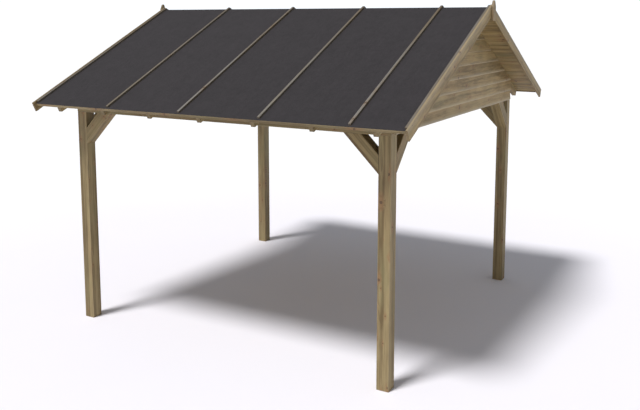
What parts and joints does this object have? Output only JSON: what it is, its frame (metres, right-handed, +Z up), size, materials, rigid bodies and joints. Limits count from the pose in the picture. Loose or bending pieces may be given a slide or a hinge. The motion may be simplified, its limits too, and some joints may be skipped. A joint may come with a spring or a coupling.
{
  "type": "wooden gazebo",
  "caption": "Open timber gazebo on four square posts with knee braces, under a pitched roof of boards and felt with lapped boards in the gables.",
  "frame": {"origin": "centre of the footprint at ground level", "axes": "+X along the ridge, +Y from front to back, +Z up"},
  "size_m": [4.304, 4.2446, 3.4435],
  "materials": {
    "posts_and_beams": "planed softwood, green pressure treatment, fine vertical grain and small knots",
    "rafters": "sawn softwood, green pressure treatment",
    "boards": "planed softwood boards, green pressure treatment",
    "trim": "pale planed softwood lath",
    "felt": "matt charcoal bitumen felt with a fine mineral surface"
  },
  "bodies": {
    "root": {"post_front_left": "posts_and_beams", "post_front_right": "posts_and_beams", "post_back_left": "posts_and_beams", "post_back_right": "posts_and_beams", "brace_long_front_left": "posts_and_beams", "brace_long_front_right": "posts_and_beams", "brace_long_back_left": "posts_and_beams", "brace_long_back_right": "posts_and_beams", "brace_cross_front_left": "posts_and_beams", "brace_cross_front_right": "posts_and_beams", "brace_cross_back_left": "posts_and_beams", "brace_cross_back_right": "posts_and_beams", "eaves_beam_front": "posts_and_beams", "eaves_beam_back": "posts_and_beams", "tie_beam_left": "posts_and_beams", "tie_beam_right": "posts_and_beams", "rafter_pair_1": "rafters", "rafter_pair_2": "rafters", "rafter_pair_3": "rafters", "rafter_pair_4": "rafters", "rafter_pair_5": "rafters", "rafter_pair_6": "rafters", "rafter_pair_7": "rafters", "ridge_board": "rafters", "gable_studs_left": "rafters", "gable_studs_right": "rafters", "roof_boards_front": "boards", "roof_boards_back": "boards", "gable_cladding_left": "boards", "gable_cladding_right": "boards", "barge_board_front_left": "boards", "barge_board_front_right": "boards", "barge_board_back_left": "boards", "barge_board_back_right": "boards", "battens_front": "trim", "battens_back": "trim", "eaves_trim_front": "trim", "eaves_trim_back": "trim", "apex_board_left": "trim", "apex_board_right": "trim", "felt_strip_1": "felt", "felt_strip_2": "felt", "felt_strip_3": "felt", "felt_strip_4": "felt", "felt_strip_5": "felt"}
  },
  "joints": []
}
